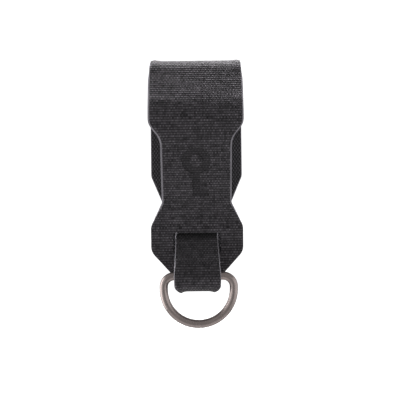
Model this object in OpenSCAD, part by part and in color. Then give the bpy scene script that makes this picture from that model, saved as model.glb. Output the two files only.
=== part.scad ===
// Belt-loop key organiser: one die-cut laminated strap, folded into a belt loop, whose
// narrow tongue passes through a slot in the front flap, carries a D-ring and is sewn
// back to the rear panel.
// X is the width, +Z is up, -Y is the front. The origin is the inside of the top fold.

/* [Laminate] */
// Thickness of the woven outer fabric
fabric_t = 0.6; // [0.3:0.1:1.0]
// Thickness of the foam core
core_t = 0.9; // [0.6:0.1:1.4]
// Thickness of the inner lining
lining_t = 0.5; // [0.3:0.1:0.8]
// How far the core stands out past the cut edges of the fabric and the lining
edge_step = 0.25; // [0:0.05:0.4]

/* [Front flap] */
// Full width of the strap at the belt loop and at the lobe
strap_w = 38.0; // [34:0.5:50]
// Width of the waist between the belt loop and the lobe
waist_w = 28.4; // [25:0.2:32]
// Height from the top fold down to the shoulder where the flap narrows
shoulder_drop = 25.0; // [22:0.5:32]
// Height of the slanted shoulder
shoulder_h = 6.0; // [4:0.5:10]
// Height of the parallel waist
waist_h = 25.6; // [20:0.2:36]
// Height over which the waist flares out to the lobe
flare_h = 9.4; // [7:0.2:13]
// Height of the lobe's parallel sides
lobe_side_h = 10.3; // [8:0.1:14]
// Height over which the lobe tapers to its lower edge
lobe_taper_h = 10.1; // [8.4:0.1:13]

/* [Belt loop] */
// Outside radius of the top fold
fold_r = 8.0; // [6:0.5:10]
// How far the corner of the loop reaches in front of the top fold, before it is rounded
bulge_depth = 19.6; // [15:0.2:25]
// Height from the top fold down to that corner
bulge_drop = 23.5; // [20:0.5:30]
// Distance from the top fold's middle to the rear face of the back panel
back_depth = 9.4; // [8.6:0.1:12]
// Height from the top fold down to the corner where the back panel starts to taper
back_straight = 45.2; // [38:0.2:56]

/* [Slot and tongue] */
// Width of the tongue
tongue_w = 19.2; // [16:0.2:22]
// Clearance between the tongue and each side of the slot
slot_side_gap = 0.3; // [0.2:0.05:0.8]
// Distance from the top of the lobe down to the slot
slot_drop = 2.6; // [2:0.1:4]
// Clearance above and below the tongue in the slot
slot_play = 0.7; // [0.6:0.05:1.2]
// Lean of the tongue from upright where it passes through the slot, in degrees
neck_lean = 40; // [36:1:44]
// Gap between the two runs of the tongue in the slot
neck_gap = 0.3; // [0.2:0.05:0.6]
// Gap between the lobe and the tongue that hangs in front of it
rest_gap = 0.6; // [0.5:0.1:1.2]
// Height of the tongue's fold below the slot
tongue_drop = 13.2; // [12:0.2:18]
// Length of the tongue's end that is sewn to the back panel
end_len = 15.6; // [14:0.2:20]
// Furthest that the tongue bends forward at the slot, in degrees
flex_max = 80; // [60:5:90]
// Running gap round the tongue's bending line
flex_gap = 0.25; // [0.2:0.05:0.5]

/* [D-ring] */
// Diameter of the ring's wire
wire_d = 3.4; // [2.8:0.1:4.2]
// Inside width of the ring
ring_inner_w = 25.1; // [24:0.1:32]
// Inside radius of the ring's upper corners
ring_corner_r = 2.6; // [2:0.1:4]
// Straight length of each of the ring's sides
ring_side_h = 1.0; // [0.5:0.1:6]
// Clearance between the ring's bar and the tongue
bar_gap = 0.2; // [0.1:0.05:0.5]
// Distance from the middle of the tongue's fold up to the ring's bar
bar_rise = 2.4; // [0:0.1:4]
// How far the ring has slid to one side in the tongue's fold
ring_shift = 0.45; // [0:0.05:0.8]

/* [Stitching] */
// Diameter of the sewing thread, bedded in the outer fabric
thread_d = 0.5; // [0.4:0.05:0.6]
// Diameter of the sewing thread where it is pulled through the strap
thread_leg_d = 0.4; // [0.3:0.05:0.5]
// Width of the sewn box
box_w = 13.5; // [9:0.5:15]
// Height of the sewn box
box_h = 10.5; // [8:0.5:13]
// Number of stitches across the box
stitches_across = 5; // [4:1:8]
// Number of stitches up the box
stitches_up = 4; // [3:1:7]
// Number of stitches on each diagonal of the box
stitches_diagonal = 6; // [4:1:9]

/* [Hidden] */
$fn = 48;

// Laminate: each ply is the space between two distances inward from the outer face
strap_t = fabric_t + core_t + lining_t;
fabric_ply = [0, fabric_t];
core_ply = [fabric_t, fabric_t + core_t];
lining_ply = [fabric_t + core_t, strap_t];

// Heights on the front flap
shoulder_z = -shoulder_drop;
waist_top_z = shoulder_z - shoulder_h;
waist_low_z = waist_top_z - waist_h;
lobe_top_z = waist_low_z - flare_h;
lobe_low_z = lobe_top_z - lobe_side_h;
flap_end_z = lobe_low_z - lobe_taper_h;

// Neck: the tongue's two runs, lying together where they pass through the slot
slot_w = tongue_w + 2 * slot_side_gap;
slot_top_z = lobe_top_z - slot_drop;
neck_t = 2 * strap_t + neck_gap;
slot_h = neck_t / sin(neck_lean) + strap_t / tan(neck_lean) + 2 * slot_play;
slot_low_z = slot_top_z - slot_h;

// The lobe's outer face leans back a little from its top to its lower edge
lobe_top_y = 0.5;
lobe_lean = 2.9;
function lobe_y(z) = lobe_top_y + (lobe_top_z + 1.5 - z) * tan(lobe_lean);

// The upper run's outer face passes under the slot's top edge at the lobe's inner face
upper_y = lobe_y(slot_top_z) + strap_t;
upper_z = slot_top_z - slot_play;
function upper_run_z(y) = upper_z + (y - upper_y) / tan(neck_lean);
function lower_run_z(y) = upper_run_z(y) - neck_t / sin(neck_lean);

// Tongue in front of the lobe, and its end on the back panel
tongue_rear_y = lobe_y(slot_low_z) - rest_gap;
loop_gap = wire_d + 2 * bar_gap;
loop_r = strap_t + loop_gap / 2;
tongue_front_y = tongue_rear_y - 2 * loop_r;
loop_low_z = slot_low_z - tongue_drop;
end_face_y = back_depth - 2 * strap_t;
end_top_z = upper_run_z(end_face_y) + end_len;

// Bending line of the tongue: the middle of the neck, level with the lobe's outer face
pivot_y = lobe_top_y;
pivot_z = (upper_run_z(pivot_y) + lower_run_z(pivot_y)) / 2;
nose_r = neck_t / 2;
neck_cut_r = nose_r / sin((180 - flex_max) / 2) + flex_gap;

// D-ring
wire_r = wire_d / 2;
bar_y = tongue_rear_y - loop_r;
bar_z = loop_low_z + loop_r + bar_rise;
ring_half = (ring_inner_w + wire_d) / 2;
corner_line_r = ring_corner_r + wire_r;

// Rounding of the outlines' corners
shoulder_r = 6;
waist_r = 8;
notch_r = 3;
lobe_r = 4.5;
taper_r = 5.4;
flap_end_r = 2.5;
slot_r = 1.2;
back_taper_r = 4;
neck_r = 5;
bulge_r = 20;
lobe_bend_r = 30;
arc_step = 6;
reach = 200;

fabric_colour = [0.16, 0.155, 0.165];
core_colour = [0.55, 0.53, 0.57];
lining_colour = [0.09, 0.085, 0.09];
steel_colour = [0.62, 0.58, 0.56];
thread_colour = [0.07, 0.07, 0.075];

// Points along a line whose corners are rounded: a corner is [position, position, radius],
// and each point that comes back is [position, heading]
function left_of(h) = [-sin(h), cos(h)];
function heading(a, b) = atan2(b.y - a.y, b.x - a.x);
function turn_of(h1, h2) = (h2 - h1 + 540) % 360 - 180;
function flat(p) = [p.x, p.y];
function bend(a, b, c) =
    let (h1 = heading(a, b),
         turn = turn_of(h1, heading(b, c)),
         r = sign(turn) * b.z,
         start = flat(b) - b.z * tan(abs(turn) / 2) * [cos(h1), sin(h1)],
         centre = start + r * left_of(h1),
         n = max(2, ceil(abs(turn) / arc_step)))
    [for (k = [0 : n])
        let (h = h1 + turn * k / n) [centre - r * left_of(h), h]];
function open_line(c) =
    let (last = len(c) - 1)
    [[flat(c[0]), heading(c[0], c[1])],
     for (i = [1 : last - 1]) each bend(c[i - 1], c[i], c[i + 1]),
     [flat(c[last]), heading(c[last - 1], c[last])]];
function closed_outline(c) =
    let (n = len(c))
    [for (i = [0 : n - 1]) each [for (p = bend(c[(i + n - 1) % n], c[i], c[(i + 1) % n])) p[0]]];
function inward(line, d) = [for (p = line) p[0] - d * left_of(p[1])];
function reversed(list) = [for (i = [len(list) - 1 : -1 : 0]) list[i]];
function mirrored(c) = concat(c, [for (p = reversed(c)) [-p.x, p.y, p.z]]);

// Side view of the strap's outer face, from the lobe's lower edge over the top fold
flap_line = open_line([
    [lobe_y(flap_end_z), flap_end_z],
    [lobe_top_y, lobe_top_z + 1.5, lobe_bend_r],
    [-bulge_depth, -bulge_drop, bulge_r],
    [-fold_r * 5 / 8, strap_t, fold_r],
    [0, strap_t]]);
back_line = open_line([
    [0, strap_t],
    [fold_r - 0.5, strap_t, fold_r],
    [back_depth, -bulge_drop + 1.5, 40],
    [back_depth, lower_run_z(back_depth), neck_r],
    [tongue_rear_y, lower_run_z(tongue_rear_y), neck_r],
    [tongue_rear_y, loop_low_z + loop_r]]);
loop_line = open_line([
    [back_depth, lower_run_z(back_depth)],
    [tongue_rear_y, lower_run_z(tongue_rear_y), neck_r],
    [tongue_rear_y, loop_low_z, loop_r],
    [tongue_front_y, loop_low_z, loop_r],
    [tongue_front_y, upper_run_z(tongue_front_y), neck_r],
    [end_face_y, upper_run_z(end_face_y)]]);
end_line = open_line([
    [tongue_front_y, upper_run_z(tongue_front_y)],
    [end_face_y, upper_run_z(end_face_y), neck_r],
    [end_face_y, end_top_z]]);

// Front views, drawn d inside the cut edge of the core
module flap_front(d) {
    half = strap_w / 2 - d;
    waist = waist_w / 2 - d;
    polygon(closed_outline(mirrored([
        [half, reach, 1],
        [half, shoulder_z, shoulder_r],
        [waist, waist_top_z, waist_r],
        [waist, waist_low_z, notch_r],
        [half, lobe_top_z, lobe_r],
        [half, lobe_low_z, taper_r],
        [slot_w / 2 - d, flap_end_z + d, flap_end_r]])));
}

module slot_front(d) {
    half = slot_w / 2 + d;
    polygon(closed_outline(mirrored([
        [half, slot_top_z + d, slot_r],
        [half, slot_low_z - d, slot_r]])));
}

module back_front(d) {
    half = strap_w / 2 - d;
    tongue = tongue_w / 2 - d;
    polygon(closed_outline(mirrored([
        [half, reach, 1],
        [half, -back_straight, back_taper_r],
        [tongue, lower_run_z(back_depth) + 1.4, back_taper_r],
        [tongue, -reach, 1]])));
}

module tongue_front(d) {
    square([tongue_w - 2 * d, 2 * reach], center = true);
}

// A front view carried through from front to rear
module through() {
    rotate([90, 0, 0])
        linear_extrude(height = 2 * reach, center = true)
            children();
}

// The space between two distances inward from an outer face, across the width
module sheet(line, ply) {
    rotate([90, 0, 90])
        linear_extrude(height = strap_w + 2, center = true)
            polygon(concat(inward(line, ply[0]), reversed(inward(line, ply[1]))));
}

// Everything within r of the tongue's bending line
module bending_round(r) {
    translate([0, pivot_y, pivot_z])
        rotate([0, 90, 0])
            cylinder(h = strap_w + 4, r = r, center = true);
}

// The half of space that lies ahead of the bending line, along the neck
module ahead_of_bend() {
    translate([0, pivot_y, pivot_z])
        rotate([-neck_lean, 0, 0])
            translate([0, 0, -reach / 2])
                cube([strap_w + 4, reach, reach], center = true);
}

module strap_ply(ply, d) {
    intersection() {
        sheet(flap_line, ply);
        difference() {
            through() flap_front(d);
            through() slot_front(d);
        }
    }
    difference() {
        intersection() {
            sheet(back_line, ply);
            through() back_front(d);
        }
        ahead_of_bend();
        bending_round(neck_cut_r);
    }
}

module loop_ply(ply, d) {
    intersection() {
        sheet(loop_line, ply);
        through() tongue_front(d);
        union() {
            ahead_of_bend();
            bending_round(nose_r);
        }
    }
}

module end_ply(ply, d) {
    difference() {
        intersection() {
            sheet(end_line, ply);
            through() tongue_front(d);
        }
        ahead_of_bend();
        bending_round(neck_cut_r);
    }
}

module strap_fabric() {
    color(fabric_colour)
        difference() {
            strap_ply(fabric_ply, edge_step);
            on_back_panel() grooves();
        }
}

module strap_core() { color(core_colour) strap_ply(core_ply, 0); }
module strap_lining() { color(lining_colour) strap_ply(lining_ply, edge_step); }
module loop_fabric() { color(fabric_colour) loop_ply(fabric_ply, edge_step); }
module loop_core() { color(core_colour) loop_ply(core_ply, 0); }
module loop_lining() { color(lining_colour) loop_ply(lining_ply, edge_step); }
module end_fabric() {
    color(fabric_colour)
        difference() {
            end_ply(fabric_ply, edge_step);
            on_end() grooves();
        }
}

module end_core() { color(core_colour) end_ply(core_ply, 0); }
module end_lining() { color(lining_colour) end_ply(lining_ply, edge_step); }

// D-ring of round wire: a straight bar, two corners, two short sides and a half round
module ring_bend(r, from, sweep) {
    rotate([90, 0, 0])
        rotate([0, 0, from])
            rotate_extrude(angle = sweep)
                translate([r, 0])
                    circle(r = wire_r);
}

module d_ring() {
    bar_half = ring_half - corner_line_r;
    color(steel_colour)
        translate([ring_shift, bar_y, bar_z]) {
            rotate([0, 90, 0])
                cylinder(h = 2 * bar_half, r = wire_r, center = true);
            for (side = [-1, 1])
                translate([side * bar_half, 0, -corner_line_r])
                    ring_bend(corner_line_r, side > 0 ? 0 : 90, 90);
            for (side = [-1, 1])
                translate([side * ring_half, 0, -corner_line_r - ring_side_h])
                    cylinder(h = ring_side_h, r = wire_r);
            translate([0, 0, -corner_line_r - ring_side_h])
                ring_bend(ring_half, 180, 180);
        }
}

// Sewn box with a cross, seen along the outward direction of the face it is sewn on: each
// stitch runs from one needle hole to the next
function holes(a, b, n) = [for (k = [0 : n]) a + (b - a) * k / n];
box_mid_z = end_top_z - end_len / 2;
box_corner = [box_w / 2, box_h / 2];
low_left = [-box_corner.x, -box_corner.y];
low_right = [box_corner.x, -box_corner.y];
top_right = box_corner;
top_left = [-box_corner.x, box_corner.y];
box_runs = [
    holes(low_left, low_right, stitches_across),
    holes(low_right, top_right, stitches_up),
    holes(top_right, top_left, stitches_across),
    holes(top_left, low_left, stitches_up),
    holes(low_left, top_right, stitches_diagonal),
    holes(top_left, low_right, stitches_diagonal)];
stitch_share = 0.86;
function lying_length(a, b) = norm(b - a) * stitch_share - thread_leg_d + thread_d;

// Places its children half-way between two needle holes, with X along the stitch
module at_stitch(a, b) {
    translate([(a.x + b.x) / 2, (a.y + b.y) / 2, 0])
        rotate([0, 0, heading(a, b)])
            children();
}

// A stitch lies level with the face; its two legs reach half-way through the seam
module stitches(depth) {
    for (line = box_runs, i = [1 : len(line) - 1])
        at_stitch(line[i - 1], line[i]) {
            lying = lying_length(line[i - 1], line[i]);
            translate([0, 0, -thread_d / 2])
                rotate([0, 90, 0])
                    cylinder(h = lying, r = thread_d / 2, center = true);
            for (side = [-1, 1])
                translate([side * (lying - thread_d) / 2, 0, -depth])
                    cylinder(h = depth - thread_d / 2, r = thread_leg_d / 2);
        }
}

// The thread's beds, open towards the face
module grooves() {
    for (line = box_runs, i = [1 : len(line) - 1])
        at_stitch(line[i - 1], line[i]) {
            lying = lying_length(line[i - 1], line[i]);
            translate([0, 0, -thread_d / 2]) {
                rotate([0, 90, 0])
                    cylinder(h = lying, r = thread_d / 2, center = true);
                translate([-lying / 2, -thread_d / 2, 0])
                    cube([lying, thread_d, thread_d]);
            }
        }
}

module on_back_panel() {
    translate([0, back_depth, box_mid_z])
        rotate([-90, 0, 0])
            mirror([0, 1, 0])
                children();
}

module on_end() {
    translate([0, end_face_y, box_mid_z])
        rotate([90, 0, 0])
            children();
}

module needle_thread() { color(thread_colour) on_back_panel() stitches(strap_t - 0.1); }
module bobbin_thread() { color(thread_colour) on_end() stitches(strap_t - 0.1); }

strap_fabric();
strap_core();
strap_lining();
loop_fabric();
loop_core();
loop_lining();
end_fabric();
end_core();
end_lining();
d_ring();
needle_thread();
bobbin_thread();
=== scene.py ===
"""Belt-loop key organiser: the looks of the strap, its tongue, the D-ring and the sewing."""
import math
import random

import bmesh
import bpy
from mathutils import Matrix, Vector, noise


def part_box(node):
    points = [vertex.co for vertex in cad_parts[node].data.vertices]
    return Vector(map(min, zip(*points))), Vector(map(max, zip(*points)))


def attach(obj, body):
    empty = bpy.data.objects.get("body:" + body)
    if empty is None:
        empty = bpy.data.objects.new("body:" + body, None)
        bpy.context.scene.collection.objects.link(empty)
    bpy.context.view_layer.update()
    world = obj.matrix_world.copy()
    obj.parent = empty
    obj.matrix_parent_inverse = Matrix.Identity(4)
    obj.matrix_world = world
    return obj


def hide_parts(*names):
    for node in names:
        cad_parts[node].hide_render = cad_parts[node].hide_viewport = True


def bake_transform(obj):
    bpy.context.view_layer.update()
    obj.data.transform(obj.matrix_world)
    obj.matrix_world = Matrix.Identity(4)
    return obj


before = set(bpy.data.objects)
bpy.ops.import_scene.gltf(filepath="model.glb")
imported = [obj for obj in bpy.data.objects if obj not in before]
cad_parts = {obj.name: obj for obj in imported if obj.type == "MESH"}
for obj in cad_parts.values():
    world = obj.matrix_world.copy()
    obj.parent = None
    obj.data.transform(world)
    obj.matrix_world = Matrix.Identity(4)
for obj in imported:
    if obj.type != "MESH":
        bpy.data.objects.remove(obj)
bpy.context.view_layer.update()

bl_info = {
    "name": "Key organiser",
    "version": (1, 0, 0),
    "blender": (4, 5, 0),
    "location": "View3D > Sidebar > Key organiser",
    "description": "Builds a laminated belt-loop key organiser with a D-ring",
    "category": "Add Mesh",
}

MM = 0.001
STRAP_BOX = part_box("strap_core")
RING_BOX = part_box("d_ring")
NEEDLE_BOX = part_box("needle_thread")
END_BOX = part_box("end_core")


def in_mm(value):
    return round(value / MM, 4)


# ------------------------ sizes and colours


class StrapSizes(bpy.types.PropertyGroup):
    """Sizes of the laminated strap, in millimetres."""

    fabric: bpy.props.FloatProperty(name="Fabric", description="Thickness of the outer fabric", default=0.6)
    core: bpy.props.FloatProperty(name="Core", description="Thickness of the foam core", default=0.9)
    lining: bpy.props.FloatProperty(name="Lining", description="Thickness of the lining", default=0.5)
    width: bpy.props.FloatProperty(
        name="Width", description="Full width", default=in_mm(STRAP_BOX[1][0] - STRAP_BOX[0][0]))
    waist: bpy.props.FloatProperty(name="Waist", description="Width of the waist", default=28.4)
    tongue: bpy.props.FloatProperty(
        name="Tongue", description="Width of the tongue", default=in_mm(END_BOX[1][0] - END_BOX[0][0]))
    slot_gap: bpy.props.FloatProperty(
        name="Slot gap", description="Clearance at each side of the tongue in the slot", default=0.3)
    shoulder: bpy.props.FloatProperty(
        name="Shoulder", description="Height from the top fold to the shoulder", default=25.0)
    shoulder_h: bpy.props.FloatProperty(
        name="Shoulder height", description="Height of the slant", default=6.0)
    waist_h: bpy.props.FloatProperty(
        name="Waist height", description="Height of the parallel waist", default=25.6)
    flare_h: bpy.props.FloatProperty(name="Flare height", description="Height of the flare", default=9.4)
    side_h: bpy.props.FloatProperty(name="Lobe side", description="Height of the lobe's sides", default=10.3)
    taper_h: bpy.props.FloatProperty(
        name="Lobe taper", description="Height of the lobe's taper", default=10.1)
    back_straight: bpy.props.FloatProperty(
        name="Back straight", description="Height of the straight part of the back panel", default=45.2)
    slot_drop: bpy.props.FloatProperty(
        name="Slot drop", description="Distance from the top of the lobe to the slot", default=2.6)
    slot_play: bpy.props.FloatProperty(
        name="Slot play", description="Clearance above and below the tongue in the slot", default=0.7)
    neck_lean: bpy.props.FloatProperty(
        name="Neck lean", description="Lean of the tongue in the slot, in degrees", default=40.0)
    neck_gap: bpy.props.FloatProperty(
        name="Neck gap", description="Gap between the two runs of the tongue", default=0.3)
    rest_gap: bpy.props.FloatProperty(
        name="Rest gap", description="Gap between the lobe and the tongue", default=0.6)
    tongue_drop: bpy.props.FloatProperty(
        name="Tongue drop", description="Height of the fold below the slot", default=13.2)
    bar_gap: bpy.props.FloatProperty(
        name="Bar gap", description="Clearance between the ring and the tongue", default=0.2)


class SewingSizes(bpy.types.PropertyGroup):
    """Sizes of the sewn box, in millimetres."""

    width: bpy.props.FloatProperty(name="Width", description="Width of the box", default=13.5)
    height: bpy.props.FloatProperty(name="Height", description="Height of the box", default=10.5)
    across: bpy.props.IntProperty(name="Across", description="Stitches across the box", default=5)
    up: bpy.props.IntProperty(name="Up", description="Stitches up the box", default=4)
    diagonal: bpy.props.IntProperty(name="Diagonal", description="Stitches on a diagonal", default=6)
    thread: bpy.props.FloatProperty(name="Thread", description="Diameter of the thread", default=0.5)


class Finishes(bpy.types.PropertyGroup):
    """Colours of the finishes."""

    fabric: bpy.props.FloatVectorProperty(
        name="Fabric", description="Outer fabric", subtype="COLOR", default=(0.105, 0.0965, 0.108))
    edge: bpy.props.FloatVectorProperty(
        name="Edge", description="Cut edge of the core", subtype="COLOR", default=(0.50, 0.475, 0.525))
    lining: bpy.props.FloatVectorProperty(
        name="Lining", description="Inner lining", subtype="COLOR", default=(0.034, 0.032, 0.036))
    steel: bpy.props.FloatVectorProperty(
        name="Steel", description="D-ring", subtype="COLOR", default=(0.56, 0.475, 0.455))
    thread: bpy.props.FloatVectorProperty(
        name="Thread", description="Sewing thread", subtype="COLOR", default=(0.020, 0.0195, 0.022))


# ------------------------ the strap's line


def left_of(heading):
    return Vector((-math.sin(heading), math.cos(heading)))


def ahead(heading):
    return Vector((math.cos(heading), math.sin(heading)))


class Line:
    """A line of straights and arcs seen from the side, found by the distance along it."""

    def __init__(self, corners):
        points = [Vector(corner[:2]) for corner in corners]
        headings = [math.atan2(b.y - a.y, b.x - a.x) for a, b in zip(points, points[1:])]
        self.stretches = []
        at = points[0]
        for index, heading in enumerate(headings):
            last = index == len(headings) - 1
            turn = 0.0 if last else (headings[index + 1] - heading + 3 * math.pi) % (2 * math.pi) - math.pi
            radius = 0.0 if last else corners[index + 1][2]
            stop = points[index + 1] - ahead(heading) * radius * math.tan(abs(turn) / 2)
            self.stretches.append(("straight", at, heading, (stop - at).dot(ahead(heading)), 0.0))
            at = stop
            if turn:
                bend = math.copysign(1 / radius, turn)
                self.stretches.append(("arc", at, heading, radius * abs(turn), bend))
                centre = at + left_of(heading) / bend
                at = centre - left_of(heading + turn) / bend
        self.length = sum(stretch[3] for stretch in self.stretches)

    def at(self, distance):
        """The point, the heading and the outward bend (per millimetre) at a distance."""
        for stretch in self.stretches:
            kind, start, heading, length, bend = stretch
            if distance <= length or stretch is self.stretches[-1]:
                break
            distance -= length
        if kind == "straight":
            return start + ahead(heading) * distance, heading, 0.0
        centre = start + left_of(heading) / bend
        turned = heading + distance * bend
        return centre - left_of(turned) / bend, turned, -bend

    def height(self, distance):
        """The height at a distance, which is kept within the line."""
        return self.at(min(max(distance, 0.0), self.length))[0].y

    def soft_bend(self, distance, reach, samples=6):
        """The outward bend averaged over a reach on each side."""
        spots = [k / samples for k in range(-samples, samples + 1)]
        shares = [(spot, math.cos(spot * math.pi / 2) ** 2) for spot in spots]
        total = sum(weight for _, weight in shares)
        places = [(min(max(distance + share * reach, 0), self.length), weight) for share, weight in shares]
        return sum(self.at(place)[2] * weight for place, weight in places) / total

    def distance_at(self, test):
        """The first distance, in hundredths of a millimetre, at which a test of the point holds."""
        for hundredths in range(int(self.length * 100) + 1):
            if test(self.at(hundredths / 100)[0]):
                return hundredths / 100
        raise ValueError("the line never gets there")


def rounded(corners, steps=8):
    """The points of an outline whose corners are rounded, each corner (half width, height, radius)."""
    line = Line(corners)
    places, start = [], 0.0
    for kind, _, _, length, _ in line.stretches:
        count = steps if kind == "arc" else 1
        places += [start + length * k / count for k in range(count + 1)]
        start += length
    return [line.at(place)[0] for place in places]


def width_at(outline, height):
    """Half the width of an outline at a height; its points go downwards."""
    for a, b in zip(outline, outline[1:]):
        if a.y >= height >= b.y and a.y > b.y:
            return a.x + (b.x - a.x) * (a.y - height) / (a.y - b.y)
    return outline[0].x if height > outline[0].y else outline[-1].x


# Corners of the side view: how far back, how high and how round
BULGE = (-19.6, -23.5, 20)
FOLD_FRONT = -5.0
FOLD_REAR = 7.5
FOLD_R = 8
BACK_TOP = -22.0
BACK_R = 40
LOBE_TOP_Y = 0.5
LOBE_TOP_R = 30
LOBE_BEND_UP = 1.5
LOBE_LEAN = math.radians(2.9)
NECK_R = 5
SEAM_UP = 3.4
# Corners of the outlines, from the top of the flap downwards
FLAP_ROUNDS = {"shoulder": 6, "waist_top": 8, "waist_low": 3, "lobe_top": 4.5, "lobe_low": 5.4, "end": 2.5}
BACK_ROUND = 4
NECK_SPARE = 0.8
NECK_START = 2.5
NECK_STEP = (6.0, 6.8)
NECK_STEP_ROUND = 0.3
SLOT_ROUND = 1.2
PAST_TOP = 20
PAST_BOTTOM = -120


class Layout:
    """Where the strap runs, worked out from its sizes, in millimetres."""

    def __init__(self, sizes):
        s = self.sizes = sizes
        self.thick = s.fabric + s.core + s.lining
        self.plies = {
            "fabric": (0.0, s.fabric),
            "core": (s.fabric, s.fabric + s.core),
            "lining": (s.fabric + s.core, self.thick),
        }
        self.shoulder = -s.shoulder
        self.waist_top = self.shoulder - s.shoulder_h
        self.waist_low = self.waist_top - s.waist_h
        self.lobe_top = self.waist_low - s.flare_h
        self.lobe_low = self.lobe_top - s.side_h
        self.flap_end = self.lobe_low - s.taper_h
        self.slot_half = s.tongue / 2 + s.slot_gap / 3
        self.slot_top = self.lobe_top - s.slot_drop
        self.lean = math.radians(s.neck_lean)
        self.neck = 2 * self.thick + s.neck_gap
        slot_h = self.neck / math.sin(self.lean) + self.thick / math.tan(self.lean) + 2 * s.slot_play
        self.slot_low = self.slot_top - slot_h
        self.back = in_mm(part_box("strap_fabric")[1][1])
        self.tongue_rear = self.lobe_y(self.slot_low) - s.rest_gap
        wire = in_mm(RING_BOX[1][1] - RING_BOX[0][1])
        self.loop_r = self.thick + wire / 2 + s.bar_gap
        self.tongue_front = self.tongue_rear - 2 * self.loop_r
        self.loop_low = self.slot_low - s.tongue_drop
        self.end_face = self.back - 2 * self.thick
        self.end_top = in_mm(END_BOX[1][2])
        self.seam = self.lower_run(self.back) + SEAM_UP

    def lobe_y(self, z):
        """How far back the lobe's outer face lies at a height."""
        return LOBE_TOP_Y + (self.lobe_top + LOBE_BEND_UP - z) * math.tan(LOBE_LEAN)

    def upper_run(self, y):
        """How high the outer face of the tongue's upper run through the slot lies, so far back."""
        rear = self.lobe_y(self.slot_top) + self.thick
        return self.slot_top - self.sizes.slot_play + (y - rear) / math.tan(self.lean)

    def lower_run(self, y):
        return self.upper_run(y) - self.neck / math.sin(self.lean)

    def strap_line(self):
        """From the lobe's lower edge, over the top fold, down the back to the tongue."""
        return Line([
            (self.lobe_y(self.flap_end), self.flap_end),
            (LOBE_TOP_Y, self.lobe_top + LOBE_BEND_UP, LOBE_TOP_R),
            BULGE,
            (FOLD_FRONT, self.thick, FOLD_R),
            (FOLD_REAR, self.thick, FOLD_R),
            (self.back, BACK_TOP, BACK_R),
            (self.back, self.seam),
        ])

    def tongue_line(self):
        """From the back panel through the slot, round the ring and back to the panel."""
        return Line([
            (self.back, self.seam),
            (self.back, self.lower_run(self.back), NECK_R),
            (self.tongue_rear, self.lower_run(self.tongue_rear), NECK_R),
            (self.tongue_rear, self.loop_low, self.loop_r),
            (self.tongue_front, self.loop_low, self.loop_r),
            (self.tongue_front, self.upper_run(self.tongue_front), NECK_R),
            (self.end_face, self.upper_run(self.end_face), NECK_R),
            (self.end_face, self.end_top),
        ])

    def flap_outline(self):
        s, turn = self.sizes, FLAP_ROUNDS
        return rounded([
            (s.width / 2, PAST_TOP, 0),
            (s.width / 2, self.shoulder, turn["shoulder"]),
            (s.waist / 2, self.waist_top, turn["waist_top"]),
            (s.waist / 2, self.waist_low, turn["waist_low"]),
            (s.width / 2, self.lobe_top, turn["lobe_top"]),
            (s.width / 2, self.lobe_low, turn["lobe_low"]),
            (s.tongue / 2 + s.slot_gap, self.flap_end, turn["end"]),
            (0, self.flap_end, 0),
        ])

    def back_outline(self):
        half, neck_half = self.sizes.width / 2, self.sizes.tongue / 2 + NECK_SPARE
        neck = self.lower_run(self.back)
        return rounded([
            (half, PAST_TOP, 0),
            (half, -self.sizes.back_straight, BACK_ROUND),
            (neck_half, neck + NECK_START, BACK_ROUND),
            (neck_half, neck - NECK_STEP[0], NECK_STEP_ROUND),
            (self.slot_half - 0.01, neck - NECK_STEP[1], NECK_STEP_ROUND),
            (self.slot_half - 0.01, PAST_BOTTOM, 0),
        ])


def smooth(low, high, value):
    """0 at low and 1 at high, which may be the lower number, with a smooth change between."""
    share = min(max((value - low) / (high - low), 0.0), 1.0)
    return share * share * (3 - 2 * share)


def quarter_round(depth, radius):
    """How far a rounded corner has turned in at a depth, from 0 to 1 at its radius."""
    share = min(max(depth / radius, 0.0), 1.0)
    return 1 - math.sqrt(1 - share * share)


# ------------------------ pressed mark and sewing


def box_distance(x, y, left, right, low, high):
    outside = Vector((max(left - x, 0, x - right), max(low - y, 0, y - high)))
    inside = min(max(left - x, x - right, low - y, y - high), 0)
    return outside.length + inside


KEY_BOW = {"up": 4.9, "radius": 4.2, "half": 1.5}
KEY_BOXES = ((-1.4, 1.4, -10.4, -0.2), (1.0, 5.0, -10.4, -8.3), (1.0, 4.2, -6.2, -4.4))


def key_mark(x, y):
    """How far a point lies outside a plain key pictogram about 21 mm high, in millimetres."""
    bow = abs(math.hypot(x, y - KEY_BOW["up"]) - KEY_BOW["radius"]) - KEY_BOW["half"]
    return min(bow, *(box_distance(x, y, *box) for box in KEY_BOXES))


def run(a, b, count):
    return [a.lerp(b, k / count) for k in range(count + 1)]


def sewn_lines(sewing):
    """The needle holes of the box and its cross, about the box's middle, in millimetres."""
    half = Vector((sewing.width / 2, sewing.height / 2))
    low_left, low_right = Vector((-half.x, -half.y)), Vector((half.x, -half.y))
    top_right, top_left = Vector((half.x, half.y)), Vector((-half.x, half.y))
    return [
        run(low_left, low_right, sewing.across), run(low_right, top_right, sewing.up),
        run(top_right, top_left, sewing.across), run(top_left, low_left, sewing.up),
        run(low_left, top_right, sewing.diagonal), run(top_left, low_right, sewing.diagonal),
    ]


SEAM_REACH = 1.6
# The pull of a seam's line and of its needle holes, and how far each spreads
LINE_PULL = (0.45, 0.6)
HOLE_PULL = (0.55, 0.5)
SEWN_DEPTH = 0.28
SEWN_AREA = (9, 8)


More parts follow.
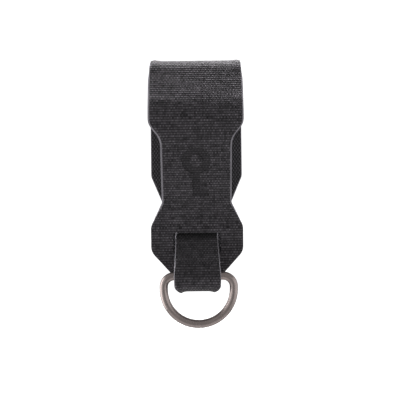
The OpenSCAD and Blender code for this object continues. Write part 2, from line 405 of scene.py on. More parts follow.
class SewnBox:
    """The sewn box on the back panel, which draws the cloth in."""

    def __init__(self, sewing):
        self.lines = sewn_lines(sewing)
        self.middle = in_mm((NEEDLE_BOX[0][2] + NEEDLE_BOX[1][2]) / 2)

    def pull(self, point):
        """How much the thread draws the cloth in at a point, from 0 to 1."""
        pull = 0.0
        for holes in self.lines:
            a, b = holes[0], holes[-1]
            along = min(max((point - a).dot(b - a) / (b - a).length_squared, 0), 1)
            away = (point - a.lerp(b, along)).length
            if away <= SEAM_REACH:
                nearest = min((point - hole).length for hole in holes)
                pulls = ((*LINE_PULL, away), (*HOLE_PULL, nearest))
                pull = max(pull, sum(share * math.exp(-(far / spread) ** 2) for share, spread, far in pulls))
        return pull

    def sunk(self, across, z):
        """How deep the cloth is drawn in, in millimetres."""
        point = Vector((across, z - self.middle))
        near = abs(point.x) < SEWN_AREA[0] and abs(point.y) < SEWN_AREA[1]
        return SEWN_DEPTH * self.pull(point) if near else 0.0


# ------------------------ plies of the strap


# How a bend stretches the cloth and lifts its edges, and how the very edge turns back down
ARCH_AT_BEND = 1.8
SLIGHT_BEND = 0.05
LIFT_AT_HOLLOW = 0.25
LIP_START = 0.75
LIP_DROP = 0.75
LIFT_OF_SIDE = {-1: 1.2, 1: 0.85}


class Ply:
    """One ply: a flat blank cut to its outline, given its thickness and then folded along a line."""

    def __init__(self, name, line, depths, layout):
        self.name, self.line, self.depths, self.layout = name, line, depths, layout
        self.bm = bmesh.new()
        self.reach = 3.0
        self.flare = 0.85
        self.edge_zone = 6.0
        self.narrowing = lambda z: 0.0
        self.relief = lambda across, along: (0.0, 0.0)
        self.darkening_with_slot_shadow = lambda along: 0.0

    def cut(self, rows, columns, place):
        """Starts from a grid and moves each of its points to place(row, column)."""
        bmesh.ops.create_grid(self.bm, x_segments=columns, y_segments=rows, size=0.5)
        for vert in self.bm.verts:
            row, column = round((vert.co.y + 0.5) * rows), round((vert.co.x + 0.5) * columns)
            vert.co = Vector((*place(row, column), 0.0))

    def open_slot(self, inside):
        cut_out = [face for face in self.bm.faces if inside(face.calc_center_median())]
        bmesh.ops.delete(self.bm, geom=cut_out, context="FACES")

    def refine(self, inside):
        """Halves the grid where the surface has fine relief."""
        edges = {edge for face in self.bm.faces if inside(face.calc_center_median()) for edge in face.edges}
        bmesh.ops.subdivide_edges(self.bm, edges=list(edges), cuts=1, use_grid_fill=True)

    def thicken(self, round_by, open_end):
        """Gives the blank its thickness, downwards, and rounds its cut edges."""
        top = list(self.bm.faces)
        spots = [vert.co for vert in self.bm.verts]
        self.flat = tuple((max(spot[axis] for spot in spots) - min(spot[axis] for spot in spots)) * MM
                          for axis in (0, 1))
        self.area = sum(face.calc_area() for face in top) * MM * MM
        bmesh.ops.reverse_faces(self.bm, faces=[face for face in top if face.normal.z < 0])
        made = bmesh.ops.extrude_face_region(self.bm, geom=top, use_keep_orig=True)
        for vert in (item for item in made["geom"] if isinstance(item, bmesh.types.BMVert)):
            vert.co.z -= 1.0
        bmesh.ops.recalc_face_normals(self.bm, faces=self.bm.faces)
        low, high = self.depths
        for vert in self.bm.verts:
            vert.co.z = -low if vert.co.z > -0.5 else -high
        rims = []
        for edge in self.bm.edges:
            if len(edge.link_faces) == 2:
                a, b = (face.normal for face in edge.link_faces)
                middle = (edge.verts[0].co + edge.verts[1].co) / 2
                if abs(a.dot(b)) < 0.5 and not open_end(middle):
                    rims.append(edge)
        bmesh.ops.bevel(self.bm, geom=rims, offset=round_by, segments=3, affect="EDGES",
                        profile=0.5, material=-1, clamp_overlap=True)

    def fold(self):
        """Folds the blank: distance along the line, depth and width become a place."""
        uv_layer = self.bm.loops.layers.uv.new("cloth")
        pressed = self.bm.verts.layers.float.new("pressed")
        # A per-point darkening of the colour: the hanging tongue's darker tone and a painted shadow at the
        # slot
        darker_with_slot_shadow = self.bm.verts.layers.float.new("darker_with_slot_shadow")
        for face in self.bm.faces:
            for loop in face.loops:
                loop[uv_layer].uv = loop.vert.co.xy * MM
        rows = {}
        half_thick = self.layout.thick / 2
        for vert in self.bm.verts:
            across, along, height = vert.co
            key = round(along, 3)
            if key not in rows:
                rows[key] = (self.line.at(along), self.line.soft_bend(along, self.reach))
            (point, heading, _), bend = rows[key]
            side = -1 if across < 0 else 1
            half = self.half_width(along, side)
            sunk, vert[pressed] = self.relief(across, along)
            vert[darker_with_slot_shadow] = self.darkening_with_slot_shadow(along)
            stretch = bend / (1 - bend * half_thick) * (half_thick * ARCH_AT_BEND + height)
            flare = self.flare * bend / (abs(bend) + SLIGHT_BEND) * (1.0 if bend > 0 else LIFT_AT_HOLLOW)
            near_edge = max(0.0, (abs(across) - half + self.edge_zone) / self.edge_zone)
            lift = flare * near_edge ** 2 * (1 - LIP_DROP * smooth(LIP_START, 1.0, near_edge))
            across *= 1 - self.narrowing(point.y) * max(stretch, 0.0)
            place = point + left_of(heading) * (height + lift * LIFT_OF_SIDE[side] - sunk)
            vert.co = Vector((across, place.x, place.y)) * MM

    def finish(self, slot):
        piece = piece_of(self.name, self.bm, slot)
        return piece


def piece_of(name, bm, slot):
    """The finished piece, at the origin, with its own material."""
    bmesh.ops.recalc_face_normals(bm, faces=bm.faces)
    mesh = bpy.data.meshes.new(name)
    bm.to_mesh(mesh)
    bm.free()
    piece = bpy.data.objects.new(name, mesh)
    bpy.context.scene.collection.objects.link(piece)
    mesh.shade_smooth()
    mesh.materials.append(bpy.data.materials["finish_" + slot])
    return piece


# ------------------------ shader maths


class Sum:
    """A shader socket that takes part in Python sums by adding Math nodes."""

    def __init__(self, maker, socket):
        self.maker, self.socket = maker, socket

    def join(self, operation, *others):
        values = {0: self}
        values.update(enumerate(others, 1))
        return self.maker.make("ShaderNodeMath", {"operation": operation}, values)

    def joined_after(self, operation, other):
        return self.maker.make("ShaderNodeMath", {"operation": operation}, {0: other, 1: self})

    def __add__(self, other):
        return self.join("ADD", other)

    def __sub__(self, other):
        return self.join("SUBTRACT", other)

    def __mul__(self, other):
        return self.join("MULTIPLY", other)

    def __truediv__(self, other):
        return self.join("DIVIDE", other)

    def __rsub__(self, other):
        return self.joined_after("SUBTRACT", other)

    def __rtruediv__(self, other):
        return self.joined_after("DIVIDE", other)

    __radd__ = __add__
    __rmul__ = __mul__


class Finish:
    """A material with one Principled shader, and the means to add nodes to it."""

    def __init__(self, name):
        self.material = bpy.data.materials.new("finish_" + name)
        self.material.use_nodes = True
        self.tree = self.material.node_tree
        self.shader = self.tree.nodes["Principled BSDF"]

    def make(self, kind, settings=None, values=None, output=0):
        node = self.tree.nodes.new(kind)
        for key, value in (settings or {}).items():
            setattr(node, key, value)
        for key, value in (values or {}).items():
            self.set(node.inputs[key], value)
        return Sum(self, node.outputs[output])

    def set(self, socket, value):
        if isinstance(value, Sum):
            self.tree.links.new(value.socket, socket)
        elif socket.type == "RGBA" and len(value) == 3:
            socket.default_value = (*value, 1.0)
        else:
            socket.default_value = value

    def shade(self, **values):
        for key, value in values.items():
            self.set(self.shader.inputs[key.replace("_", " ")], value)

    def cloth_place(self):
        """Distances across and along the cloth, in metres."""
        uv = self.make("ShaderNodeUVMap", {"uv_map": "cloth"})
        across = self.make("ShaderNodeSeparateXYZ", None, {0: uv}, 0)
        along = Sum(self, across.socket.node.outputs[1])
        return across, along

    def place(self):
        """The place on the piece, as Object coordinates."""
        return self.make("ShaderNodeTexCoord", None, None, 3)

    def attribute(self, name):
        return self.make("ShaderNodeAttribute", {"attribute_name": name}, None, 2)

    def combine(self, x, y, z=0.0):
        return self.make("ShaderNodeCombineXYZ", None, {0: x, 1: y, 2: z})

    def noise(self, place, scale, detail=2.0, roughness=0.5):
        return self.make("ShaderNodeTexNoise", {"noise_dimensions": "3D"}, {
            "Vector": place, "Scale": scale, "Detail": detail, "Roughness": roughness})

    def bump(self, height, strength, distance):
        return self.make("ShaderNodeBump", None, {
            "Height": height, "Strength": strength, "Distance": distance})

    def mix(self, share, a, b):
        return self.make("ShaderNodeMix", {"data_type": "RGBA"}, {0: share, 6: a, 7: b}, 2)


def scaled(colour, factor):
    return tuple(min(channel * factor, 1.0) for channel in colour)


WARP_PITCH = 0.00062
WEFT_PITCH = 0.00103
DIAMOND_PITCH = 0.00124
DIAMOND_SLOPE = 0.667


def woven_fabric(colour):
    """A plain weave of slubbed yarns; the pressed mark is flatter and darker, with painted shade on its
    sloped walls, and the hanging tongue's colour is darker, with a painted shadow where it enters the slot.
    """
    finish = Finish("woven_fabric")
    across, along = finish.cloth_place()
    u, v = across / WARP_PITCH, along / WEFT_PITCH
    u_cell, v_cell = u.join("FLOOR"), v.join("FLOOR")
    parity = (u_cell + v_cell).join("PINGPONG", 1.0)
    u_wave = (u.join("FRACT") * math.pi).join("SINE")
    v_wave = (v.join("FRACT") * math.pi).join("SINE")
    row = v_wave.join("POWER", 1.3)
    warp = u_wave.join("POWER", 0.7) * (0.12 + 0.68 * row)
    weft = row * (0.8 + 0.5 * u_wave)
    weave = warp * (1 - parity) + weft * parity
    float_tone = finish.make("ShaderNodeTexWhiteNoise", {"noise_dimensions": "2D"},
                             {"Vector": finish.combine(u_cell, v_cell)})
    warp_yarn = finish.noise(finish.combine(u_cell * 3.7, v * 0.4), 1.0, 1.0, 0.5)
    weft_yarn = finish.noise(finish.combine(u * 0.21, v_cell * 4.3, 9.0), 1.0, 1.0, 0.5)
    weft_row = finish.noise(finish.combine(u * 0.03, v_cell * 7.1, 4.0), 1.0, 1.0, 0.5)
    fibre = finish.noise(finish.combine(u * 1.4, v * 5.0, 2.0), 1.0, 2.0, 0.6)
    slub = (warp_yarn - 0.5) * 0.9 + (weft_yarn - 0.5) * 1.6 + (weft_row - 0.5) * 1.1
    yarn = slub + (fibre - 0.5) * 1.8
    cloud = finish.noise(finish.combine(across * 90, along * 90, 5.0), 1.0, 2.0, 0.5)
    pressed, darker_with_slot_shadow = finish.attribute("pressed"), finish.attribute("darker_with_slot_shadow")
    # Painted shade on the pressed mark's sloped walls, darkest halfway down them
    rim = (pressed * (1 - pressed)).join("MAXIMUM", 0.0)
    speckle = (yarn + 0.8 * (float_tone - 0.5) + 0.3 * (cloud - 0.5)) * (1 - 0.5 * pressed)
    # The last factor darkens the tongue's colour and paints the shadow where the tongue enters the slot
    shade = (1 - 0.45 * pressed) * (1 - 2.4 * rim) * (1 - darker_with_slot_shadow)
    tone = (0.12 + 1.15 * weave) * (1 + speckle).join("MAXIMUM", 0.1) * shade
    base = finish.mix(tone / 3, scaled(colour, 0.08), scaled(colour, 3.0))
    height = weave * (1 - 0.5 * pressed) + 0.2 * fibre
    finish.shade(Base_Color=base, Roughness=0.78 - 0.15 * pressed, Sheen_Weight=0.5, Sheen_Roughness=0.35,
                 Specular_IOR_Level=0.35, Normal=finish.bump(height, 0.8, 0.00025))
    return finish.material


def edge_foam(colour):
    """The cut edge of the foam core: even, satin, a little mottled."""
    finish = Finish("edge_foam")
    grain = finish.noise(finish.place(), 3500, 2.0, 0.6)
    mottle = finish.noise(finish.place(), 260, 2.0, 0.5)
    base = finish.mix((0.35 + 0.6 * (mottle - 0.5) + 0.5 * (grain - 0.5)).join("MAXIMUM", 0.0),
                      scaled(colour, 0.6), scaled(colour, 1.6))
    finish.shade(Base_Color=base, Roughness=0.48 + 0.2 * (grain - 0.5),
                 Normal=finish.bump(grain, 0.3, 0.00006))
    return finish.material


def lining(colour):
    """A grippy lining with a small raised diamond pattern."""
    finish = Finish("lining")
    across, along = finish.cloth_place()
    ridges = []
    for slope in (DIAMOND_SLOPE, -DIAMOND_SLOPE):
        share = ((across + along * slope) / DIAMOND_PITCH).join("FRACT")
        ridges.append(1 - ((share - 0.5).join("ABSOLUTE") * 2).join("POWER", 2.5))
    diamond = ridges[0] * ridges[1]
    grain = finish.noise(finish.combine(across * 2600, along * 2600), 1.0, 2.0, 0.6)
    tone = (diamond.join("POWER", 1.6) + 0.9 * (grain - 0.5)).join("MAXIMUM", 0.0)
    base = finish.mix(tone, scaled(colour, 0.15), scaled(colour, 4.2))
    finish.shade(Base_Color=base, Roughness=0.62, Normal=finish.bump(diamond + 0.3 * grain, 0.7, 0.00022))
    return finish.material


def satin_steel(colour):
    """Tumbled stainless wire: satin, with fine scratches and a few duller patches."""
    finish = Finish("steel")
    fine = finish.noise(finish.place(), 4200, 3.0, 0.7)
    patch = finish.noise(finish.place(), 240, 3.0, 0.6)
    base = finish.mix((0.5 + 0.9 * (patch - 0.5) + 0.35 * (fine - 0.5)).join("MAXIMUM", 0.0),
                      scaled(colour, 0.8), scaled(colour, 1.2))
    finish.shade(Base_Color=base, Metallic=1.0, Roughness=0.27 + 0.22 * (patch - 0.5) + 0.12 * (fine - 0.5),
                 Normal=finish.bump(fine + patch, 0.08, 0.00002))
    return finish.material


def sewing_thread(colour):
    """Bonded thread, slightly glossy, with the lay of its filaments."""
    finish = Finish("thread")
    fibre = finish.noise(finish.place(), 9000, 2.0, 0.6)
    base = finish.mix(fibre, scaled(colour, 0.5), scaled(colour, 2.2))
    finish.shade(Base_Color=base, Roughness=0.45, Normal=finish.bump(fibre, 0.4, 0.00003))
    return finish.material


# ------------------------ operators


class KEYORG_OT_finishes(bpy.types.Operator):
    """Makes the materials"""

    bl_idname = "keyorg.finishes"
    bl_label = "Make the finishes"

    def execute(self, context):
        colours = context.scene.keyorg_finishes
        woven_fabric(colours.fabric)
        edge_foam(colours.edge)
        lining(colours.lining)
        satin_steel(colours.steel)
        sewing_thread(colours.thread)
        return {"FINISHED"}


SLOTS = {"fabric": "woven_fabric", "core": "edge_foam", "lining": "lining"}
ROUNDING = {"fabric": 0.16, "core": 0.34, "lining": 0.12}
# How far a ply's edge lies behind the core's, at the outline and at the sides of the slot
INSET = {"fabric": 0.12, "core": 0.0, "lining": 0.35}
SLOT_INSET = {"fabric": 0.12, "core": 0.4, "lining": 0.0}
# How much more of the core's edge shows at the waist, on the left and on the right
EDGE_SHOWN = {-1: 0.6, 1: 0.5}
# Spacing along the strap, and the columns on each side within the slot's width and past it
FINE_GRID = (0.45, 28, 18)
PLAIN_GRID = (0.8, 14, 9)
CUT_END = 8
SLOT_FRAME = 1.2
MARK_AREA = (7, 12)
MARK_GRID = (6.3, 11.2)
MARK_DEPTH = 0.4
MARK_SLOPE = 0.18
CREST_R = 1.4
# How much of the core's edge the fabric covers at the crest, and the heights where that starts and is full
CREST_COVERED = (0.45, -7.0, -1.5)


class StrapPlan:
    """Where the flap, the slot, the mark and the back panel lie along the strap's line."""

    def __init__(self, layout, sewn):
        self.layout, self.sewn = layout, sewn
        self.line = layout.strap_line()
        self.top = self.line.distance_at(lambda point: point.x >= 0 and point.y > 0)
        self.flap, self.back = layout.flap_outline(), layout.back_outline()
        self.slot_low, self.slot_top = self.rise(layout.slot_low), self.rise(layout.slot_top)
        self.mark = self.rise((layout.waist_top + layout.waist_low) / 2)

    def rise(self, z):
        """The distance along the line at which the flap rises to a height."""
        return self.line.distance_at(lambda point: point.y >= z)


class KEYORG_OT_strap(bpy.types.Operator):
    """Builds the front flap, the belt loop and the back panel"""

    bl_idname = "keyorg.strap"
    bl_label = "Build the strap"

    def execute(self, context):
        layout = Layout(context.scene.keyorg_strap)
        plan = StrapPlan(layout, SewnBox(context.scene.keyorg_sewing))
        for ply, depths in layout.plies.items():
            self.build(ply, depths, plan)
        return {"FINISHED"}

    def build(self, ply, depths, plan):
        layout, line = plan.layout, plan.line
        sheet = Ply("strap_" + ply + "_sheet", line, depths, layout)
        sheet.narrowing = lambda z: 0.02 + 0.14 * quarter_round(z - layout.thick + CREST_R, CREST_R)
        fine = ply == "fabric"
        spacing, inner, outer = FINE_GRID if fine else PLAIN_GRID
        inset = INSET[ply]
        slot_low, slot_high = plan.slot_low - SLOT_INSET[ply], plan.slot_top + SLOT_INSET[ply]
        count = math.ceil((line.length - inset) / spacing)
        places = [inset + (line.length - inset) * k / count for k in range(count + 1)]
        for exact in (slot_low, slot_high):
            nearest = min(range(len(places)), key=lambda k: abs(places[k] - exact))
            places[nearest] = exact

        def half_width(along, side):
            z = line.height(along)
            on_flap = along < plan.top
            outline = plan.flap if on_flap else plan.back
            on_waist = smooth(layout.lobe_top + 3, layout.waist_low, z)
            shown = EDGE_SHOWN[side] * on_waist if fine and on_flap else 0.0
            share, start, full = CREST_COVERED
            covered = share * smooth(start, full, z) if ply == "core" else 0.0
            return width_at(outline, z - (inset if along < CUT_END else 0.0)) - inset - covered - shown

        def slot_half(along, side):
            half = layout.slot_half + SLOT_INSET[ply]
            into = SLOT_ROUND - min(abs(along - slot_low), abs(along - slot_high))
            inside = slot_low <= along <= slot_high
            turned = SLOT_ROUND - math.sqrt(max(SLOT_ROUND ** 2 - max(into, 0) ** 2, 0)) if inside else 0.0
            return min(half - turned, half_width(along, side) - SLOT_FRAME)

        def place(row, column):
            along = places[row]
            spot = column - inner - outer
            side = -1 if spot < 0 else 1
            inside = slot_half(along, side)
            if abs(spot) <= inner:
                return spot / inner * inside, along
            share = (abs(spot) - inner) / outer
            return side * (inside + share * (half_width(along, side) - inside)), along

        def relief(across, along):
            up = along - plan.mark
            pressed = 0.0
            if fine and abs(across) < MARK_AREA[0] and abs(up) < MARK_AREA[1]:
                pressed = 1 - smooth(-MARK_SLOPE, MARK_SLOPE, key_mark(across, up))
            sewn_in = plan.sewn.sunk(across, line.height(along)) if fine and along > plan.top else 0.0
            return MARK_DEPTH * pressed + sewn_in, pressed

        sheet.half_width, sheet.relief = half_width, relief
        sheet.cut(count, 2 * (inner + outer), place)
        sheet.open_slot(lambda p: slot_low + 0.01 < p.y < slot_high - 0.01
                        and abs(p.x) < slot_half(p.y, -1 if p.x < 0 else 1) - 0.02)
        if fine:
            sheet.refine(lambda p: abs(p.x) < MARK_GRID[0] and abs(p.y - plan.mark) < MARK_GRID[1])
        sheet.thicken(ROUNDING[ply], lambda p: p.y > line.length - 0.01)
        sheet.fold()
        piece = sheet.finish(SLOTS[ply])
        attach(piece, "strap")
        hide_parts("strap_" + ply)


TONGUE_SPACING = 0.4
TONGUE_COLUMNS = 44
TONGUE_FLARE = 1.1
TONGUE_EDGE = 4.0
TONGUE_REACH = 1.6
TONGUE_SHOWN = 0.3
FOLD_CORNER = 3.0
# How much narrower the hanging tongue gets towards the slot, on the left and on the right
DRAWN_AT_SLOT = {-1: 0.7, 1: 1.0}
# How far each ply's edge lies inside the outline above the neck, and in the neck
NECK_INSET = {"fabric": (0.12, -0.11), "core": (0.0, 0.45), "lining": (0.35, 0.35)}
# Heights between which one width or shade passes into the next
SLOT_FADE = (-89.0, -70.0)
NECK_FADE = (-66.0, -69.0)
BELOW_SLOT_FADE = (-79.4, -80.6)
SHADE_FADE = (-72.4, -69.0)
# How much darker the hanging tongue's colour is, and how much painted shadow is added where it enters the
# slot
SHADE = (0.38, 0.6)
SEWN_END = 16


class KEYORG_OT_tongue(bpy.types.Operator):
    """Builds the tongue, which runs through the slot, round the ring and back"""

    bl_idname = "keyorg.tongue"
    bl_label = "Build the tongue"

    def execute(self, context):
        layout = Layout(context.scene.keyorg_strap)
        sewn = SewnBox(context.scene.keyorg_sewing)
        for ply, depths in layout.plies.items():
            self.build(ply, depths, layout, layout.tongue_line(), layout.back_outline(), sewn)
        return {"FINISHED"}

    def build(self, ply, depths, layout, line, back, sewn):
        sheet = Ply("tongue_" + ply + "_sheet", line, depths, layout)
        sheet.edge_zone, sheet.flare, sheet.reach = TONGUE_EDGE, TONGUE_FLARE, TONGUE_REACH
        corner_top = layout.loop_low + FOLD_CORNER
        sheet.narrowing = lambda z: 0.02 + 0.34 * quarter_round(corner_top - z, FOLD_CORNER)
        fine = ply == "fabric"
        length = line.length - INSET[ply]
        rows = math.ceil(length / TONGUE_SPACING)
        front, sewn_from = line.length / 2, line.length - SEWN_END

        def half_width(along, side):
            z = line.height(along)
            shown = TONGUE_SHOWN * EDGE_SHOWN[side] if fine else 0.0
            at_slot = smooth(*SLOT_FADE, z) * DRAWN_AT_SLOT[side]
            hanging = layout.sizes.tongue / 2 - INSET[ply] - shown - at_slot
            if along > front:
                return hanging
            below_slot = smooth(*BELOW_SLOT_FADE, z)
            inset, in_neck = NECK_INSET[ply]
            inset += (in_neck - inset) * smooth(*NECK_FADE, z)
            return (width_at(back, z) - inset) * (1 - below_slot) + hanging * below_slot

        def place(row, column):
            share = column / TONGUE_COLUMNS * 2 - 1
            along = length * row / rows
            return share * half_width(along, -1 if share < 0 else 1), along

        def relief(across, along):
            return (sewn.sunk(across, line.height(along)) if fine and along > sewn_from else 0.0), 0.0

        # Darker colour on the hanging tongue, and a painted shadow where it goes into the slot
        def darkening_with_slot_shadow(along):
            least, more = SHADE
            hanging = front < along < sewn_from
            return least + more * smooth(*SHADE_FADE, line.height(along)) if hanging else 0.0

        sheet.half_width, sheet.relief, sheet.darkening_with_slot_shadow = half_width, relief, darkening_with_slot_shadow
        sheet.cut(rows, TONGUE_COLUMNS, place)
        sheet.thicken(ROUNDING[ply], lambda p: p.y < 0.01)
        sheet.fold()
        piece = sheet.finish(SLOTS[ply])
        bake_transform(piece)
        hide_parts("loop_" + ply, "end_" + ply)


RING_CORNER = 4.3 * MM
WELD_STEPS = (0.6, 1.0, 1.4, 1.9)
WELD_HALF = 0.9 * MM
WELD_RISE = 0.05
WELD_ROUGH = 0.04


class KEYORG_OT_ring(bpy.types.Operator):
    """Builds the D-ring: round wire bent and welded on its straight bar"""

    bl_idname = "keyorg.ring"
    bl_label = "Build the D-ring"

    def execute(self, context):
        low, high = (Vector(corner) for corner in RING_BOX)
        wire = (high.y - low.y) / 2
        half = (high.x - low.x) / 2 - wire
        top, bottom = high.z - wire, low.z + wire
        shoulder, bow = top - RING_CORNER, bottom + half
        bar = half - RING_CORNER
        middle_x, middle_y = (low.x + high.x) / 2, (low.y + high.y) / 2
        bm = bmesh.new()
        section = bmesh.ops.create_circle(bm, segments=28, radius=wire)["verts"]
        bmesh.ops.rotate(bm, verts=section, matrix=Matrix.Rotation(math.radians(90), 3, "Y"))
        bmesh.ops.translate(bm, verts=section, vec=(0, middle_y, top))
        weld = [step * MM for step in WELD_STEPS]
        rim = self.along_bar(bm, list(bm.edges), [0.0, *weld, bar])
        rim = self.bend(bm, rim, Vector((bar, middle_y, shoulder)), 90, 14)
        rim = self.straight(bm, rim, Vector((0, 0, bow - shoulder)), 2)
        rim = self.bend(bm, rim, Vector((0, middle_y, bow)), 180, 64)
        rim = self.straight(bm, rim, Vector((0, 0, shoulder - bow)), 2)
        rim = self.bend(bm, rim, Vector((-bar, middle_y, shoulder)), 90, 14)
        self.along_bar(bm, rim, [-bar, *(-step for step in reversed(weld)), 0.0])
        bmesh.ops.remove_doubles(bm, verts=bm.verts, dist=1e-6)
        self.raise_weld(bm, Vector((0, middle_y, top)), wire)
        bmesh.ops.translate(bm, verts=bm.verts, vec=(middle_x, 0, 0))
        piece = piece_of("ring_wire", bm, "steel")
        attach(piece, "ring")
        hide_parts("d_ring")
        return {"FINISHED"}

    def along_bar(self, bm, rim, places):
        """Draws the wire along the straight bar, from place to place."""
        for start, stop in zip(places, places[1:]):
            rim = self.straight(bm, rim, Vector((stop - start, 0, 0)), 1)
        return rim

    def straight(self, bm, rim, move, steps):
        for _ in range(steps):
            made = bmesh.ops.extrude_edge_only(bm, edges=rim)["geom"]
            bmesh.ops.translate(bm, vec=move / steps,
                                verts=[item for item in made if isinstance(item, bmesh.types.BMVert)])
            edges = [item for item in made if isinstance(item, bmesh.types.BMEdge)]
            rim = [edge for edge in edges if len(edge.link_faces) == 1]
        return rim

    def bend(self, bm, rim, centre, degrees, steps):
        made = bmesh.ops.spin(bm, geom=rim, cent=centre, axis=(0, 1, 0), angle=math.radians(degrees),
                              steps=steps, use_merge=False, use_duplicate=False)
        return [item for item in made["geom_last"] if isinstance(item, bmesh.types.BMEdge)]

    def raise_weld(self, bm, middle, wire):
        """Swells the wire a little at the weld, unevenly."""
        for vert in bm.verts:
            if vert.co.z > middle.z - wire * 1.01 and abs(vert.co.x) < 2 * MM:
                centre = Vector((vert.co.x, middle.y, middle.z))
                swell = WELD_RISE + WELD_ROUGH * noise.noise(vert.co * 2500)
                bead = math.exp(-(vert.co.x / WELD_HALF) ** 2)
                vert.co = centre + (vert.co - centre) * (1 + swell * bead)


THREAD_BEDDED = 0.22
STITCH_SHARE = 0.9
STITCH_STEPS = 14
STITCH_SLANT = 0.06
STRAND_DEPTH = 0.13
STRAND_TWIST = 5.5
STITCH_TAPER = 0.35
STITCH_DIP = 0.42


class KEYORG_OT_sewing(bpy.types.Operator):
    """Builds the stitches on the back panel and on the tongue's end"""

    bl_idname = "keyorg.sewing"
    bl_label = "Build the sewing"

    def execute(self, context):
        sewing = context.scene.keyorg_sewing
        layout = Layout(context.scene.keyorg_strap)
        middle = (NEEDLE_BOX[0][2] + NEEDLE_BOX[1][2]) / 2
        faces = {"needle_thread": (layout.back, 1), "bobbin_thread": (layout.end_face, -1)}
        for node, (face, outward) in faces.items():
            draw = random.Random(len(node))
            bm = bmesh.new()
            for holes in sewn_lines(sewing):
                for a, b in zip(holes, holes[1:]):
                    self.stitch(bm, a, b, sewing.thread, draw)
            for vert in bm.verts:
                x, z, out = vert.co
                vert.co = Vector((x * MM, (face + outward * (out - THREAD_BEDDED)) * MM, middle + z * MM))
            piece = piece_of(node + "_stitches", bm, "thread")
            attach(piece, "strap")
            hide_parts(node)
        return {"FINISHED"}

    def stitch(self, bm, a, b, thread, draw):
        """One stitch of three-strand thread that dips into its needle holes."""
        span = (b - a).length * STITCH_SHARE
        old = set(bm.verts)
        start = set(bmesh.ops.create_circle(bm, cap_ends=True, segments=12, radius=thread / 2)["verts"])
        rim = [edge for edge in bm.edges if start.issuperset(edge.verts)]
        for _ in range(STITCH_STEPS):
            made = bmesh.ops.extrude_edge_only(bm, edges=rim)["geom"]
            verts = {item for item in made if isinstance(item, bmesh.types.BMVert)}
            bmesh.ops.translate(bm, verts=list(verts), vec=(0, 0, span / STITCH_STEPS))
            edges = [item for item in made if isinstance(item, bmesh.types.BMEdge)]
            rim = [edge for edge in edges if verts.issuperset(edge.verts)]
        bmesh.ops.contextual_create(bm, geom=rim)
        turned = math.atan2(b.y - a.y, b.x - a.x) + draw.uniform(-STITCH_SLANT, STITCH_SLANT)
        forward, sideways = ahead(turned), left_of(turned)
        phase = draw.uniform(0, 6)
        for vert in [vert for vert in bm.verts if vert not in old]:
            share = vert.co.z / span
            spread = Vector(vert.co.xy)
            angle = math.atan2(spread.y, spread.x)
            to_end = abs(2 * share - 1)
            strands = 1 + STRAND_DEPTH * math.cos(3 * (angle - share * STRAND_TWIST - phase))
            spread *= strands * (1 - STITCH_TAPER * to_end ** 3)
            flat = (a + b) / 2 + forward * (share - 0.5) * span + sideways * spread.x
            vert.co = Vector((flat.x, flat.y, thread / 2 + spread.y - STITCH_DIP * to_end ** 4))


LIGHTS = (
    ("rear_softbox", (0.0, 0.24, 0.42), (0.7, 0.25), 22.0),
    ("left_panel", (-0.85, 0.06, -0.05), (0.85, 1.2), 1.5),
    ("right_panel", (0.85, 0.12, -0.05), (0.75, 1.2), 0.45),
    ("front_left_panel", (-0.90, -0.70, -0.05), (1.0, 1.0), 0.32),
    ("front_right_panel", (0.90, -0.70, -0.05), (1.0, 1.0), 0.38),
    ("table_bounce", (0.0, -0.15, -0.75), (1.4, 1.2), 0.24),
)
CAMERA_AWAY = 0.4
CAMERA_LENS = 87.6
CAMERA_RIGHT = 1.35 * MM
CAMERA_UP = -55.07 * MM
CAMERA_ROLL = math.radians(0.65)
AIM = Vector((0, 0, -0.05))
WORLD_STRENGTH = 0.24
DOME_RADIUS = 4.0
FLOOR_BELOW = 0.09


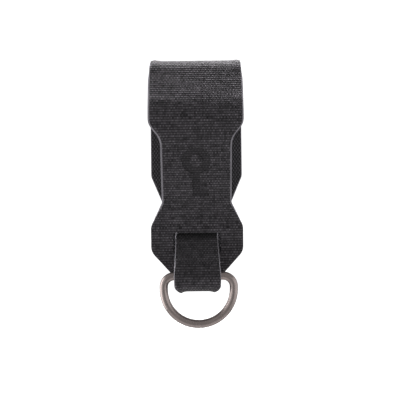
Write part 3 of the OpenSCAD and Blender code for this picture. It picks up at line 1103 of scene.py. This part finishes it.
class KEYORG_OT_stage(bpy.types.Operator):
    """Sets the camera, the lights and the pale floor"""

    bl_idname = "keyorg.stage"
    bl_label = "Set the stage"

    def execute(self, context):
        scene = context.scene
        camera = bpy.data.objects.new("camera", bpy.data.cameras.new("camera"))
        scene.collection.objects.link(camera)
        camera.data.lens = CAMERA_LENS
        camera.data.clip_start = 0.01
        camera.location = (CAMERA_RIGHT, LOBE_TOP_Y * MM - CAMERA_AWAY, CAMERA_UP)
        camera.rotation_euler = (Matrix.Rotation(CAMERA_ROLL, 3, "Y")
                                 @ Matrix.Rotation(math.radians(90), 3, "X")).to_euler()
        scene.camera = camera
        scene.view_settings.view_transform = "Standard"
        self.backdrop(context)
        for name, place, size, radiance in LIGHTS:
            self.lamp(context, name, Vector(place), size, radiance * math.pi * size[0] * size[1])
        world = bpy.data.worlds.new("studio")
        world.use_nodes = True
        background = world.node_tree.nodes["Background"]
        background.inputs["Color"].default_value = (1.0, 1.0, 1.0, 1.0)
        background.inputs["Strength"].default_value = WORLD_STRENGTH
        scene.world = world
        return {"FINISHED"}

    def backdrop(self, context):
        """A white dome whose lower part is flattened into the floor; only the camera sees it."""
        floor_height = RING_BOX[0][2] - FLOOR_BELOW
        bm = bmesh.new()
        bmesh.ops.create_uvsphere(bm, u_segments=48, v_segments=24, radius=DOME_RADIUS)
        bmesh.ops.reverse_faces(bm, faces=bm.faces)
        for vert in bm.verts:
            vert.co.z = max(vert.co.z, floor_height)
        mesh = bpy.data.meshes.new("studio_dome")
        bm.to_mesh(mesh)
        bm.free()
        dome = bpy.data.objects.new("studio_dome", mesh)
        context.scene.collection.objects.link(dome)
        dome.visible_diffuse = dome.visible_glossy = dome.visible_transmission = dome.visible_shadow = False
        finish = Finish("white_backdrop")
        finish.shade(Base_Color=(0.9, 0.9, 0.9), Roughness=0.9, Emission_Color=(1.0, 1.0, 1.0),
                     Emission_Strength=1.0)
        mesh.materials.append(finish.material)

    def lamp(self, context, name, place, size, power):
        """An area light aimed at the object; the softbox behind it doesn't glint in the ring."""
        data = bpy.data.lights.new(name, "AREA")
        data.shape = "RECTANGLE"
        data.size, data.size_y = size
        data.energy = power
        lamp = bpy.data.objects.new(name, data)
        context.scene.collection.objects.link(lamp)
        lamp.visible_glossy = name != "rear_softbox"
        lamp.location = place
        lamp.rotation_euler = (AIM - place).to_track_quat("-Z", "Y").to_euler()


class KEYORG_PT_panel(bpy.types.Panel):
    """Lists the sizes, the colours and the building steps"""

    bl_idname = "KEYORG_PT_panel"
    bl_label = "Key organiser"
    bl_space_type = "VIEW_3D"
    bl_region_type = "UI"
    bl_category = "Key organiser"

    def draw(self, context):
        for group_name, group in GROUPS.items():
            for name in group.__annotations__:
                self.layout.prop(getattr(context.scene, group_name), name)
        for step in STEPS:
            self.layout.operator(step.bl_idname)


STEPS = (KEYORG_OT_finishes, KEYORG_OT_stage, KEYORG_OT_strap, KEYORG_OT_tongue, KEYORG_OT_ring,
         KEYORG_OT_sewing)
GROUPS = {"keyorg_strap": StrapSizes, "keyorg_sewing": SewingSizes, "keyorg_finishes": Finishes}


def register():
    for group in GROUPS.values():
        bpy.utils.register_class(group)
    for step in (*STEPS, KEYORG_PT_panel):
        bpy.utils.register_class(step)
    for name, group in GROUPS.items():
        setattr(bpy.types.Scene, name, bpy.props.PointerProperty(type=group))


def unregister():
    for name in GROUPS:
        delattr(bpy.types.Scene, name)
    for step in (KEYORG_PT_panel, *reversed(STEPS)):
        bpy.utils.unregister_class(step)
    for group in GROUPS.values():
        bpy.utils.unregister_class(group)


def main():
    register()
    bpy.ops.keyorg.finishes()
    bpy.ops.keyorg.stage()
    bpy.ops.keyorg.strap()
    bpy.ops.keyorg.tongue()
    bpy.ops.keyorg.ring()
    bpy.ops.keyorg.sewing()


if __name__ == "__main__":
    main()
